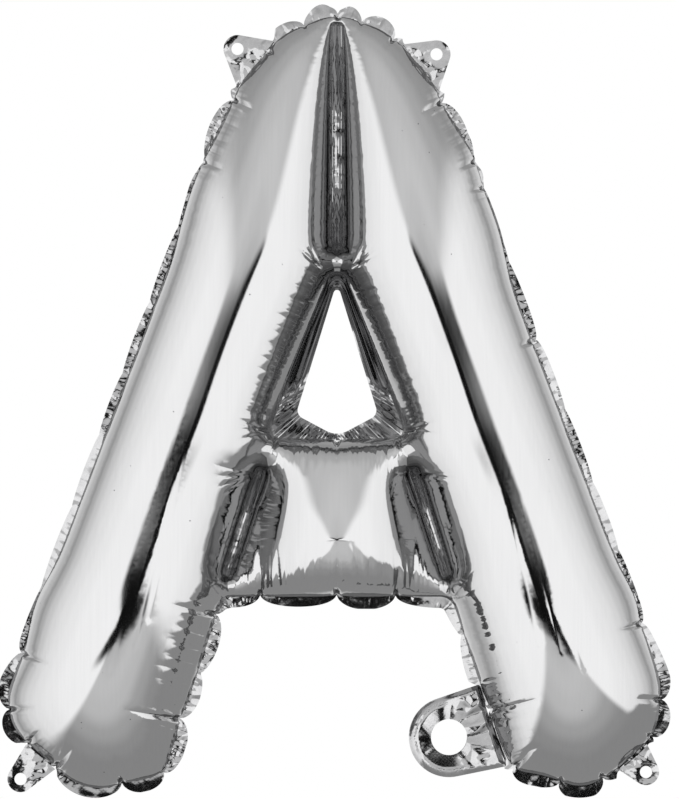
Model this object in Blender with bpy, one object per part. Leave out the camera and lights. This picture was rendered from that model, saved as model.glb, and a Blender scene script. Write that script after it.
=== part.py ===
"""Silver foil letter balloon in the form of a capital A, filled with air and hung by its tabs.

Two foil sheets are welded face to face round the letter's outline, round its counter (the
three-sided opening), and along three short slits that keep the strokes apart. Metres, +Z up,
the front faces -Y. The origin is midway between the two upper tabs' holes, on the plane where
the sheets are welded. All sizes below are in millimetres, and places are (across, up).
"""

import math

import bmesh
import bpy
import numpy as np
from mathutils import Vector, geometry

MM = 0.001

# The inflated letter's outline, left half, from the apex down the outside of the leg, round
# the foot and up to the crossbar's lower edge. Columns: across, up, corner radius.
HALF_OUTLINE = (
    (-20.0, 13.0, 33.0),
    (-43.6, -14.6, 60.0),
    (-150.0, -294.6, 24.0),
    (-111.0, -328.0, 26.0),
    (-76.5, -319.5, 12.0),
    (-50.5, -241.0, 7.0),
)
# The counter, clockwise from its top: where the inflated sheets end ...
COUNTER_BODY = ((0.0, -91.5, 4.0), (31.0, -171.0, 4.0), (-31.0, -171.0, 4.0))
# ... and where the flat seam inside that is cut open.
COUNTER_OPENING = (
    (0.0, -101.5, 1.6),
    (18.2, -160.5, 4.0),
    (0.0, -170.2, 10.0),
    (-18.2, -160.5, 4.0),
)

# Welded slits. Columns: name, top across, top up, foot across, foot up, width.
SLITS = (
    ("apex_weld", 0.0, 4.0, 0.0, -86.0, 4.0),
    ("left_crossbar_weld", -34.2, -186.5, -48.2, -230.5, 3.0),
    ("right_crossbar_weld", 34.2, -186.5, 48.2, -230.5, 3.0),
)

# Hanging tabs, flaps of film that stand out of the seam.
# Columns: name, hole across, hole up, tip radius, half width at the root.
TABS = (
    ("upper_left_tab", -44.0, 1.2, 6.2, 13.0),
    ("upper_right_tab", 44.0, -1.2, 6.2, 13.0),
    ("lower_left_tab", -139.9, -321.6, 5.8, 9.0),
    ("lower_right_tab", 136.6, -318.5, 5.8, 9.0),
)
TAB_HOLE_RADIUS = 2.7
TAB_CLEARANCE = 0.15  # from a tab's root line to the film on each side of it

# Filling tail: two layers of foil with the valve's flat film tube between them.
TAIL_HOLE = (49.5, -303.0)
TAIL_HOLE_RADIUS = 8.0
TAIL_TIP_RADIUS = 17.7
TAIL_ROOT = 19.0  # half width where it meets the leg
TAIL_CLEARANCE = 0.9  # from the fold line to the film on each side of it
TAIL_LAYER = 0.5
VALVE_WIDTH = 13.0
VALVE_THICKNESS = 0.6

SEAM = 0.8  # thickness of a welded seam
SEAM_HIDDEN = 2.6  # width of a seam that is held between the sheets
RIM_NOTCH = 2.8  # width of the rim seam between its lobes
RIM_LOBE = 2.4  # further width of a lobe
LOBE_PITCH = 20.0
ROOT_OFFSET = 3.0  # from the inflated edge out to the line where a flap begins
GAP = 0.3  # between pieces that touch

ROUNDNESS = 0.97  # of the strokes' section, where 1 is a circle
EDGE_STEP = 4.0  # spacing of points round the outlines ...
SLIT_STEP = 2.0  # ... round the slits ...
FILL_STEP = 7.0  # ... and over the sheets
EDGE_RING = 1.8  # from the sheets' edge to their first row of points
SMALLEST_FACE = 0.001


def clear_scene():
    for obj in list(bpy.data.objects):
        bpy.data.objects.remove(obj)


def film(name, colour, roughness, metallic=1.0):
    material = bpy.data.materials.new(name)
    material.use_nodes = True
    shader = material.node_tree.nodes["Principled BSDF"]
    shader.inputs["Base Color"].default_value = (*colour, 1.0)
    shader.inputs["Roughness"].default_value = roughness
    shader.inputs["Metallic"].default_value = metallic
    return material


def mirrored(half):
    """A whole outline from its left half."""
    return half + tuple((-x, z, radius) for x, z, radius in reversed(half))


def rounded(corners, step):
    """Evenly spaced points round a closed outline with rounded corners."""
    points = []
    for i, (x, z, radius) in enumerate(corners):
        corner = Vector((x, z))
        before = (Vector(corners[i - 1][:2]) - corner).normalized()
        after = (Vector(corners[(i + 1) % len(corners)][:2]) - corner).normalized()
        half_angle = before.angle(after) / 2
        tangent = radius / math.tan(half_angle)
        centre = corner + (before + after).normalized() * (radius / math.sin(half_angle))
        start = corner + before * tangent - centre
        turn = -start.angle_signed(corner + after * tangent - centre)
        steps = max(3, round(2 * radius * abs(turn)))
        for k in range(steps + 1):
            c, s = math.cos(turn * k / steps), math.sin(turn * k / steps)
            points.append((centre.x + c * start.x - s * start.y, centre.y + s * start.x + c * start.y))
    return resampled(points, step)


def resampled(points, step):
    """The same closed line with evenly spaced points."""
    closed = np.array([*points, points[0]])
    length = np.concatenate([[0], np.cumsum(np.linalg.norm(np.diff(closed, axis=0), axis=1))])
    at = np.linspace(0, length[-1], round(length[-1] / step), endpoint=False)
    return np.column_stack([np.interp(at, length, closed[:, k]) for k in (0, 1)])


def circle(centre, radius, count=24):
    angles = np.linspace(0, 2 * math.pi, count, endpoint=False)
    return np.array(centre) + radius * np.column_stack([np.cos(angles), np.sin(angles)])


def stretched_round(points):
    """The outline that a band stretched round the points would take."""
    return np.array([points[i] for i in geometry.convex_hull_2d([tuple(p) for p in points])])


def slit_outline(x0, z0, x1, z1, width):
    ends = np.vstack([circle(end, width / 2) for end in ((x0, z0), (x1, z1))])
    return resampled(stretched_round(ends), SLIT_STEP)


def outward_normals(loop):
    tangent = np.roll(loop, -1, 0) - np.roll(loop, 1, 0)
    normal = np.column_stack([tangent[:, 1], -tangent[:, 0]])
    normal /= np.linalg.norm(normal, axis=1)[:, None]
    return normal if signed_area(loop) > 0 else -normal


def signed_area(loop):
    ahead = np.roll(loop, -1, 0)
    return np.sum(loop[:, 0] * ahead[:, 1] - ahead[:, 0] * loop[:, 1]) / 2


def inside(points, loops):
    """Which points lie within the first loop and outside the others."""
    found = np.zeros(len(points), bool)
    x, z = points.T
    for loop in loops:
        for (x0, z0), (x1, z1) in zip(loop, np.roll(loop, -1, 0)):
            if z0 != z1:
                found ^= ((z0 > z) != (z1 > z)) & (x < (x1 - x0) * (z - z0) / (z1 - z0) + x0)
    return found


def sheet_points(loops):
    """The loops' points, a row just inside them, then an even triangular grid."""
    rows = [loops[0] - EDGE_RING * outward_normals(loops[0])]
    rows += [loop + EDGE_RING * outward_normals(loop) for loop in loops[1:]]
    low, high = loops[0].min(0), loops[0].max(0)
    across = np.arange(low[0], high[0], FILL_STEP)
    up = np.arange(low[1], high[1], FILL_STEP * math.sin(math.pi / 3))
    grid = np.array([(x + FILL_STEP / 2 * (j % 2), z) for j, z in enumerate(up) for x in across])
    grid = grid[inside(grid, loops)]
    taken = np.vstack(rows)
    clear = [np.linalg.norm(taken - point, axis=1).min() > 0.6 * FILL_STEP for point in grid]
    return np.vstack([*loops, *rows, grid[clear]])


def triangles(points, loops):
    """Faces between the points, inside the loops that their list starts with."""
    links = []
    for loop in loops:
        first = len(links)
        links += [(first + i, first + (i + 1) % len(loop)) for i in range(len(loop))]
    made = geometry.delaunay_2d_cdt([Vector(p) for p in points], links, [], 0, 1e-4)
    source = [ids[0] for ids in made[3]]
    faces = np.array([[source[i] for i in face] for face in made[2]])
    size = np.array([abs(signed_area(points[face])) for face in faces])
    return faces[inside(points[faces].mean(axis=1), loops) & (size > SMALLEST_FACE)]


def swelling(points, faces, edge_count):
    """Height of an inflated sheet: the root of the sag of a membrane under an even load.

    On a long stroke that gives a circular section, and it runs out evenly into the ends.
    The membrane is solved by finite elements, held at the points of its edges.
    """
    stiffness = np.zeros((len(points), len(points)))
    load = np.zeros(len(points))
    for face in faces:
        a, b, c = points[face]
        area = abs(signed_area(points[face]))
        sides = np.array([c - b, a - c, b - a])
        stiffness[np.ix_(face, face)] += sides @ sides.T / (4 * area)
        load[face] += 2 * area / 3
    sag = np.zeros(len(points))
    free = slice(edge_count, None)
    sag[free] = np.linalg.solve(stiffness[free, free], load[free])
    return ROUNDNESS * np.sqrt(np.maximum(sag, 0))


def inflated_sheet(name, loops, side, material):
    """One foil sheet with the air behind it, as a solid: side is -1 in front, 1 behind."""
    points = sheet_points(loops)
    faces = triangles(points, loops)
    height = swelling(points, faces, sum(len(loop) for loop in loops))
    plane = side * (SEAM / 2 + GAP)
    bm = bmesh.new()
    verts = [bm.verts.new((x, plane, z)) for x, z in points]
    flat = [bm.faces.new([verts[i] for i in face]) for face in faces]
    grown = bmesh.ops.extrude_face_region(bm, geom=flat, use_keep_orig=True)
    for vert, h in zip(verts, height):
        vert.co.y += side * (GAP + h)
    back = {item for item in grown["geom"] if isinstance(item, (bmesh.types.BMVert, bmesh.types.BMEdge))}
    bmesh.ops.dissolve_limit(
        bm,
        angle_limit=math.radians(0.1),
        verts=[item for item in back if isinstance(item, bmesh.types.BMVert)],
        edges=[item for item in back if isinstance(item, bmesh.types.BMEdge)],
    )
    bmesh.ops.scale(bm, vec=(MM, MM, MM), verts=bm.verts)
    bmesh.ops.recalc_face_normals(bm, faces=bm.faces)
    mesh = bpy.data.meshes.new(name)
    bm.to_mesh(mesh)
    bm.free()
    mesh.shade_smooth()
    mesh.set_sharp_from_angle(angle=math.radians(60))
    return placed(name, mesh, material)


def placed(name, data, material, parent=None):
    data.materials.append(material)
    obj = bpy.data.objects.new(name, data)
    obj.parent = parent
    bpy.context.scene.collection.objects.link(obj)
    return obj


def plate(name, loops, material, thickness=SEAM, at=(0.0, 0.0), offset=0.0, parent=None):
    """A flat film: an outline and its holes, filled and extruded, standing upright.

    at is its origin (across, up), and offset how far its mid-plane is behind the origin's.
    """
    curve = bpy.data.curves.new(name, "CURVE")
    curve.dimensions = "2D"
    curve.fill_mode = "BOTH"
    curve.extrude = thickness / 2 * MM
    for loop in loops:
        spline = curve.splines.new("POLY")
        spline.points.add(len(loop) - 1)
        for point, (x, z) in zip(spline.points, loop):
            point.co = ((x - at[0]) * MM, (z - at[1]) * MM, 0, 1)
        spline.use_cyclic_u = True
    obj = placed(name, curve, material, parent)
    obj.rotation_euler.x = math.pi / 2
    obj.location = (0, offset * MM, 0) if parent else (at[0] * MM, offset * MM, at[1] * MM)
    return obj


def root_line(outline, tip, half_width):
    """(middle, direction) of the line where a flap with this tip leaves the seam."""
    nearest = np.linalg.norm(outline - tip, axis=1).argmin()
    outward = outward_normals(outline)[nearest]
    along = np.array([outward[1], -outward[0]])
    offset = outline - outline[nearest]
    beside = (np.abs(offset @ along) < half_width) & (np.linalg.norm(offset, axis=1) < 2 * half_width)
    return outline[nearest] + outward * ((offset @ outward)[beside].max() + ROOT_OFFSET), along


def rim_edge(outline, roots):
    """The rim seam's scalloped edge, which runs straight where a flap leaves it."""
    normals = outward_normals(outline)
    lobes = round(len(outline) * EDGE_STEP / LOBE_PITCH)
    wave = np.abs(np.sin(math.pi * lobes * np.arange(len(outline)) / len(outline)))
    width = RIM_NOTCH + RIM_LOBE * wave
    for middle, along, half_width, clearance in roots:
        outward = np.array([-along[1], along[0]])
        offset = outline - middle
        beside = np.abs(offset @ along)
        near = (beside < half_width + EDGE_STEP) & (np.linalg.norm(offset, axis=1) < 2 * half_width)
        reach = -(offset @ outward) / np.maximum(normals @ outward, 0.2) - clearance
        limit = np.maximum(reach, GAP)
        width[near] = np.where(beside < half_width, limit, np.minimum(width, limit))[near]
    return outline + width[:, None] * normals


def flap_outline(middle, along, half_width, clearance, tip, radius):
    """A flap from its root line out to a round tip."""
    outward = np.array([-along[1], along[0]])
    start = middle + clearance * outward
    rim = circle(tip, radius, 28)
    beyond = rim[(rim - start) @ outward > GAP]
    return stretched_round([start - along * half_width, start + along * half_width, *beyond])


def valve_outline(middle, along):
    """The strip of valve film between the tail's hole and its fold line."""
    outward = np.array([-along[1], along[0]])
    reach = (np.array(TAIL_HOLE) - middle) @ outward
    foot = np.array(TAIL_HOLE) - outward * reach
    side = along * VALVE_WIDTH / 2
    far, near = outward * TAIL_CLEARANCE, outward * (reach - TAIL_HOLE_RADIUS - GAP)
    return foot + np.array([far - side, near - side, near + side, far + side])


def sheets_and_welds(outline, silver, seam_foil):
    counter = rounded(COUNTER_BODY, EDGE_STEP)
    slits = [slit_outline(*slit) for _, *slit in SLITS]
    inflated_sheet("front_sheet", [outline, counter, *slits], -1, silver)
    inflated_sheet("back_sheet", [outline, counter, *slits], 1, silver)
    held = counter + SEAM_HIDDEN * outward_normals(counter)
    plate("counter_seam", [held, rounded(COUNTER_OPENING, EDGE_STEP)], seam_foil)
    for name, x0, z0, x1, z1, width in SLITS:
        plate(name, [slit_outline(x0, z0, x1, z1, width + SEAM_HIDDEN)], seam_foil)


def rim_and_tabs(outline, tail_root, seam_foil):
    roots = [(*root_line(outline, (x, z), half), half, TAB_CLEARANCE) for _, x, z, _, half in TABS]
    held = outline - SEAM_HIDDEN * outward_normals(outline)
    plate("rim_seam", [rim_edge(outline, [*roots, tail_root]), held], seam_foil)
    for (name, x, z, radius, _), root in zip(TABS, roots):
        hole = circle((x, z), TAB_HOLE_RADIUS, 16)
        plate(name, [flap_outline(*root, (x, z), radius), hole], seam_foil, at=(x, z))


def filling_tail(root, seam_foil, valve_film):
    middle, along, *_ = root
    fold = bpy.data.objects.new("tail_fold", None)
    fold.location = (middle[0] * MM, 0, middle[1] * MM)
    bpy.context.scene.collection.objects.link(fold)
    layer = [flap_outline(*root, TAIL_HOLE, TAIL_TIP_RADIUS), circle(TAIL_HOLE, TAIL_HOLE_RADIUS)]
    offset = VALVE_THICKNESS / 2 + GAP + TAIL_LAYER / 2
    plate("tail_front_layer", layer, seam_foil, TAIL_LAYER, middle, -offset, fold)
    plate("tail_back_layer", layer, seam_foil, TAIL_LAYER, middle, offset, fold)
    plate("tail_valve", [valve_outline(middle, along)], valve_film, VALVE_THICKNESS, middle, 0, fold)


def build():
    clear_scene()
    silver = film("silver_foil", (0.80, 0.80, 0.81), 0.06)
    seam_foil = film("seam_foil", (0.74, 0.74, 0.75), 0.18)
    valve_film = film("valve_film", (0.86, 0.87, 0.88), 0.25, metallic=0.3)
    outline = rounded(mirrored(HALF_OUTLINE), EDGE_STEP)
    tail_root = (*root_line(outline, TAIL_HOLE, TAIL_ROOT), TAIL_ROOT, TAIL_CLEARANCE)
    sheets_and_welds(outline, silver, seam_foil)
    rim_and_tabs(outline, tail_root, seam_foil)
    filling_tail(tail_root, seam_foil, valve_film)


build()
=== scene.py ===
import math

import bpy
import numpy as np
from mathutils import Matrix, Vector, geometry
from mathutils.bvhtree import BVHTree
from mathutils.kdtree import KDTree


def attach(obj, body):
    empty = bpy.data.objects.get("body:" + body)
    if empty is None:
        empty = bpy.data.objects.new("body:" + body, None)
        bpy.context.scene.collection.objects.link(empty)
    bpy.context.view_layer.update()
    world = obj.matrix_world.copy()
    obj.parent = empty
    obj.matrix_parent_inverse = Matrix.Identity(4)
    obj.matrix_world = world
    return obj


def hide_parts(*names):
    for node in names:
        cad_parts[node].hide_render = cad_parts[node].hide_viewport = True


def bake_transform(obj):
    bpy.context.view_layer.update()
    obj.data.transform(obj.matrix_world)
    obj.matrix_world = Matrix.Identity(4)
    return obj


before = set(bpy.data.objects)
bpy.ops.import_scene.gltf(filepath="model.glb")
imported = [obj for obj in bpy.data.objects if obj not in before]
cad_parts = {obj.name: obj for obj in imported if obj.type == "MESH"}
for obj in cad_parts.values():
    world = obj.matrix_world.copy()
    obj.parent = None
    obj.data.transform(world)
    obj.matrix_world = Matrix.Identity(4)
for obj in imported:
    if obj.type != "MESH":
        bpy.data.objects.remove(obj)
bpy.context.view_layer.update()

MM = 0.001

# The filled letter, in millimetres, with places as (across, up): the same outlines that the
# frame's solids are built on. Columns: across, up, corner radius.
HALF_OUTLINE = (
    (-20.0, 13.0, 33.0), (-43.6, -14.6, 60.0), (-150.0, -294.6, 24.0), (-111.0, -328.0, 26.0),
    (-76.5, -319.5, 12.0), (-50.5, -241.0, 7.0),
)
COUNTER_BODY = ((0.0, -91.5, 4.0), (31.0, -171.0, 4.0), (-31.0, -171.0, 4.0))
COUNTER_OPENING = (
    (0.0, -101.5, 1.6), (18.2, -160.5, 4.0), (0.0, -170.2, 10.0), (-18.2, -160.5, 4.0),
)
SLITS = (
    ("apex_weld", 0.0, 11.0, 0.0, -86.0, 4.0),
    ("left_crossbar_weld", -34.2, -186.5, -48.2, -230.5, 3.0),
    ("right_crossbar_weld", 34.2, -186.5, 48.2, -230.5, 3.0),
)
TABS = (
    ("upper_left_tab", -44.0, 1.2, 6.2, 13.0),
    ("upper_right_tab", 44.0, -1.2, 6.2, 13.0),
    ("lower_left_tab", -139.9, -321.6, 5.8, 9.0),
    ("lower_right_tab", 136.6, -318.5, 5.8, 9.0),
)
TAB_HOLE_RADIUS = 2.7
TAIL_HOLE = (49.5, -303.0)
TAIL_HOLE_RADIUS = 8.0
TAIL_TIP_RADIUS = 17.7
TAIL_ROOT = 19.0
TAIL_WELD_LINES = (1.7, 3.2)
FOLD = (66.4, -298.6)
FOLD_ALONG = (-0.3144, 0.9493)
FOLD_OUTWARD = (-FOLD_ALONG[1], FOLD_ALONG[0])

# Thickness of the welded film and of the tail's, and how far the welded film reaches inwards.
FILM = 0.16
TAIL_FILM = 0.14
SEAM_OVERLAP = 0.9
APEX_LOBES = (-1.5, 16.0)
ROUNDNESS = 0.97
SOLVER_ROUNDS = 4000
SOLVED = 1e-4

# Where the air pushes the skin out past that outline, or the gathers hold it back. Columns:
# across, up, outwards, spread.
FULLNESS = (
    (0, 13, 3, 9), (-62, -58, 3, 26), (58, -48, 4.2, 18),
    (70, -76, 3.2, 20), (-134, -243, 2.4, 16), (133, -240, 2, 14),
    (144, -290, -2.8, 12), (90, -322, -3, 16),
)

# The film's mesh: its step along the seams, the rows beside them, with half the points from
# some distance on, and the grid's step elsewhere, finer on the crossbar.
SEAM_STEP = 0.65
NEAR_ROWS = (0.04, 0.16)
ROWS = (0.36, 0.64, 1.0, 1.45, 2.0, 2.7, 3.5, 4.5, 5.7, 7.1, 8.8, 10.8)
THINNED_FROM = 7.0
FILL_STEP = 2.6
FINE_STEP = 1.1
CROSSBAR = ((-50.0, -241.0), (50.0, -168.0))

# The crossbar's front: its low crest, the tilts of the faces above and below it, and the faint
# ridge down the middle.
CROSSBAR_TOP = -171.0
CREST_UP = -215.5
CREST_HALF = 14.0
CREST_KINK = 0.062
CREST_KINK_REACH = 0.6
CREST_BEND = 0.0294
CREST_BEND_POWER = 0.58
CREST_EDGE = 1.03
CREST_UNDER = 0.0986
CREST_DOME = 0.0003
RIDGE_TILT = 0.07
RIDGE_REACH = 10.0
RIDGE_SPREAD = 9

# What is left of the light after a second mirroring, and after each one further.
FOLD_SHADE = 0.44
DEEP_FOLD_SHADE = 0.68

# The photograph's frame: its height in rows, the size of one in metres, the place of its middle
# across, and the row at the letter's zero height.
FRAME_ROWS = 799
ROW_SIZE = 0.000442
MIDDLE_ACROSS = 2.5
ZERO_ROW = 51.5
CAMERA_DISTANCE = 3.0
SENSOR = 24

# The room's tones by degrees from the camera's direction: (degrees, tone).
WALLS = (
    (0, 0.97), (45, 0.95), (62, 0.89), (75, 0.83), (88, 0.74), (100, 0.61), (112, 0.44),
    (119, 0.34), (131, 0.50), (150, 0.68),
)
CEILING = (
    (3, 0.34), (8, 0.50), (14, 0.56), (22, 0.60), (38, 0.54), (60, 0.42), (90, 0.33),
    (125, 0.29), (150, 0.33), (165, 0.60),
)
FLOOR = (
    (0, 0.42), (20, 0.56), (32, 0.52), (46, 0.37), (62, 0.28), (80, 0.25), (140, 0.25),
    (158, 0.60),
)
STAND_TONE = 0.005
STAND_SLOPE = 0.36

# Gathers: deep creases that run in from the outer seam. Columns: across, up, reach, depth.
GATHERS = (
    (0.0, 16.0, 3, 1.3), (-15.0, 12.2, 5, 0.7), (11.0, 13.0, 5, 0.6), (-30.5, -0.2, 6, 0.8),
    (24.3, 4.2, 7, 0.8), (-46.0, -21.4, 11, 1.0), (46.0, -22.8, 12, 1.1), (-51.7, -52.4, 10, 0.8),
    (56.6, -50.2, 9, 0.8), (59.7, -62.1, 8, 0.7), (91.5, -126.2, 7, 0.8),
    (-139.7, -265.4, 14, 1.1), (-144.1, -290.6, 13, 1.1), (-140.1, -309.6, 10, 0.9),
    (-126.4, -318.5, 14, 1.2), (-95.9, -319.8, 15, 1.2), (-65.0, -296.4, 26, 1.5),
    (-54.0, -248.2, 20, 1.0), (136.6, -252.2, 13, 1.2), (143.2, -286.6, 12, 1.0),
    (138.4, -302.1, 8, 0.8), (117.6, -320.7, 13, 1.2), (98.6, -322.0, 5, 0.6),
    (80.0, -314.0, 12, 1.1), (64.1, -291.9, 22, 1.3), (0.0, -241.0, 21, 1.2),
    (-34.0, -241.0, 15, 1.1), (25.6, -241.0, 14, 1.0),
)
CROSSBAR_TOP_GATHER = (0.0, -171.0, 0.0, -1.0, 11, 1.2)

# Combs of ripples along every seam. Columns: spacing, depth, width, and how uneven they are.
COMBS = ((2.2, 0.25, 0.7, 0.35), (8.0, 0.34, 1.0, 1.0))

# Strength and reach of the combs at the counter and at the slits.
COUNTER_COMB = (1.15, 15.0)
SLIT_COMB = (0.55, 9.5)

# The power by which a crease's depth falls along it.
SLOW_FALL = 0.75
EVEN_FALL = 1.0

# Long shallow folds down the legs. Columns: from, to, depth, width.
LONG_FOLDS = (
    (-99.5, -276.0, -66.7, -154.0, 0.10, 1.3), (-82.7, -252.2, -65.0, -171.7, 0.13, 1.1),
    (-88.8, -264.5, -71.2, -189.4, 0.10, 0.9), (108.3, -275.6, 74.3, -167.3, 0.10, 1.3),
    (88.4, -263.7, 72.0, -185.0, 0.13, 1.1), (98.6, -266.7, 80.9, -198.2, 0.10, 0.9),
)

# Stars: bunches of creases that fan out from a seam's end or corner, each with its twin on the
# right. Columns: across, up, direction and spread in degrees (0 right, 90 up), count, reach, depth.
STARS = (
    (-31.0, -167.5, 166, 16, 5, 16, 0.7), (-8.0, -95.0, 130, 22, 6, 13, 0.6),
    (-35.5, -187.0, 188, 24, 5, 19, 0.6), (-2.0, -87.0, 215, 30, 4, 8, 0.5),
    (-48.5, -231.5, 245, 40, 5, 11, 0.7), (-27.0, -173.0, 262, 30, 5, 9, 0.5),
)


def mirrored(half):
    return half + tuple((-x, z, radius) for x, z, radius in reversed(half))


def resampled(points, step):
    closed = np.array([*points, points[0]])
    length = np.concatenate([[0], np.cumsum(np.linalg.norm(np.diff(closed, axis=0), axis=1))])
    at = np.linspace(0, length[-1], round(length[-1] / step), endpoint=False)
    return np.column_stack([np.interp(at, length, closed[:, k]) for k in (0, 1)])


def rounded(corners, step):
    points = []
    for i, (x, z, radius) in enumerate(corners):
        corner = Vector((x, z))
        before = (Vector(corners[i - 1][:2]) - corner).normalized()
        after = (Vector(corners[(i + 1) % len(corners)][:2]) - corner).normalized()
        half_angle = before.angle(after) / 2
        tangent = radius / math.tan(half_angle)
        centre = corner + (before + after).normalized() * (radius / math.sin(half_angle))
        start = corner + before * tangent - centre
        turn = -start.angle_signed(corner + after * tangent - centre)
        steps = max(6, round(4 * radius * abs(turn)))
        for k in range(steps + 1):
            c, s = math.cos(turn * k / steps), math.sin(turn * k / steps)
            point = centre.x + c * start.x - s * start.y, centre.y + s * start.x + c * start.y
            points.append(point)
    return resampled(points, step)


def circle(centre, radius, count=48):
    angles = np.linspace(0, 2 * math.pi, count, endpoint=False)
    return np.array(centre) + radius * np.column_stack([np.cos(angles), np.sin(angles)])


def stretched_round(points):
    return np.array([points[i] for i in geometry.convex_hull_2d([tuple(p) for p in points])])


def slit_outline(x0, z0, x1, z1, width, step=SEAM_STEP):
    ends = np.vstack([circle(end, width / 2) for end in ((x0, z0), (x1, z1))])
    return resampled(stretched_round(ends), step)


def distances(points, place):
    return np.linalg.norm(points - np.asarray(place), axis=1)


def signed_area(loop):
    ahead = np.roll(loop, -1, 0)
    return np.sum(loop[:, 0] * ahead[:, 1] - ahead[:, 0] * loop[:, 1]) / 2


def outward_normals(loop):
    tangent = np.roll(loop, -1, 0) - np.roll(loop, 1, 0)
    normal = np.column_stack([tangent[:, 1], -tangent[:, 0]])
    normal /= np.linalg.norm(normal, axis=1)[:, None]
    return normal if signed_area(loop) > 0 else -normal


def inside(points, loops):
    found = np.zeros(len(points), bool)
    x, z = points.T
    for loop in loops:
        for (x0, z0), (x1, z1) in zip(loop, np.roll(loop, -1, 0)):
            if z0 != z1:
                found ^= ((z0 > z) != (z1 > z)) & (x < (x1 - x0) * (z - z0) / (z1 - z0) + x0)
    return found


def tree_of(points):
    tree = KDTree(len(points))
    for i, (x, z) in enumerate(points):
        tree.insert((x, z, 0), i)
    tree.balance()
    return tree


def nearest(tree, points):
    hits = [tree.find((x, z, 0)) for x, z in points]
    return np.array([h[1] for h in hits]), np.array([h[2] for h in hits])


def hexagonal(low, high, step):
    across = np.arange(low[0], high[0], step)
    up = np.arange(low[1], high[1], step * math.sin(math.pi / 3))
    return np.array([(x + step / 2 * (j % 2), z) for j, z in enumerate(up) for x in across])


def smooth_step(value, start, end):
    t = np.clip((value - start) / (end - start), 0, 1)
    return t * t * (3 - 2 * t)


def fullness(outline):
    """How far each of the outline's points is pushed out or held back."""
    out = np.zeros(len(outline))
    for x, z, amount, spread in FULLNESS:
        out += amount * np.exp(-((distances(outline, (x, z)) / spread) ** 2))
    return out


def filled_out(outline):
    """The outline with its fuller and its held back stretches."""
    moved = outline + outward_normals(outline) * fullness(outline)[:, None]
    return resampled(moved, SEAM_STEP)


def rows_beside(loops, reaches, tree):
    """Rows of points beside the seams, at each of the reaches."""
    rows = []
    for k, loop in enumerate(loops):
        normals = outward_normals(loop) * (-1 if k == 0 else 1)
        for reach in reaches:
            take = 1 if reach < THINNED_FROM else 2
            row = loop[::take] + reach * normals[::take]
            row = row[inside(row, loops)]
            _, away = nearest(tree, row)
            rows.append(row[away > 0.93 * reach])
    return rows


def crease_points(creases, loops, tree):
    """Points along each crease's bottom and flanks, so that the mesh can follow it."""
    found = []
    for x, z, dx, dz, reach, _, width, _ in creases:
        along = np.arange(0.5, reach, 0.85)[:, None] * (dx, dz)
        for beside in (0, -0.5, 0.5, -1.3, 1.3):
            found.append(along + (x - beside * width * dz, z + beside * width * dx))
    found = np.vstack(found)
    _, first = np.unique(np.round(found / 0.32).astype(int), axis=0, return_index=True)
    found = found[np.sort(first)]
    found = found[inside(found, [loop[::2] for loop in loops])]
    _, away = nearest(tree, found)
    return found[away > 0.3]


def film_points(loops, tree, creases):
    """All points of the film's mesh, the seams' own points first."""
    rough = [loop[::6] for loop in loops]
    grid = hexagonal(loops[0].min(0), loops[0].max(0), FILL_STEP)
    fine = hexagonal(*CROSSBAR, FINE_STEP)
    low, high = np.array(CROSSBAR) + ((-0.6, -0.6), (0.6, 0.6))
    grid = grid[~((grid > low) & (grid < high)).all(1)]
    across = np.arange(-CREST_HALF, CREST_HALF, 0.7)
    crest = np.vstack(
        [np.column_stack([across + way, across * 0 + CREST_UP + way]) for way in (-0.13, 0.13)]
    )
    grid = np.vstack([grid, fine])
    grid = grid[inside(grid, rough)]
    _, away = nearest(tree, grid)
    first_rows = np.vstack(rows_beside(loops, ROWS[:1], tree))
    others = np.vstack([*rows_beside(loops, ROWS[1:], tree), grid[away > ROWS[-1] + 0.9]])
    lines = np.vstack([crest, crease_points(creases, loops, tree)])
    _, away = nearest(tree_of(first_rows), lines)
    lines = lines[away > 0.3]
    _, away = nearest(tree_of(lines), others)
    return np.vstack([*loops, first_rows, lines, others[away > 0.42]])


def doubled_areas(points, faces):
    """Twice the area of each triangle, negative where it runs clockwise."""
    a, b, c = (points[faces[:, k]] for k in range(3))
    return (b - a)[:, 0] * (c - a)[:, 1] - (b - a)[:, 1] * (c - a)[:, 0]


def triangles(points, loops):
    """The points that triangles inside the loops use, and those triangles."""
    links = []
    for loop in loops:
        first = len(links)
        links += [(first + i, first + (i + 1) % len(loop)) for i in range(len(loop))]
    made = geometry.delaunay_2d_cdt([Vector(p) for p in points], links, [], 0, 1e-5)
    source = [ids[0] if ids else -1 for ids in made[3]]
    faces = np.array([[source[i] for i in face] for face in made[2]])
    a, b, c = (points[faces[:, k]] for k in range(3))
    size = np.abs(doubled_areas(points, faces))
    faces = faces[inside((a + b + c) / 3, loops) & (size > 1e-4)]
    used, faces = np.unique(faces, return_inverse=True)
    return points[used], faces.reshape(-1, 3)


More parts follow.
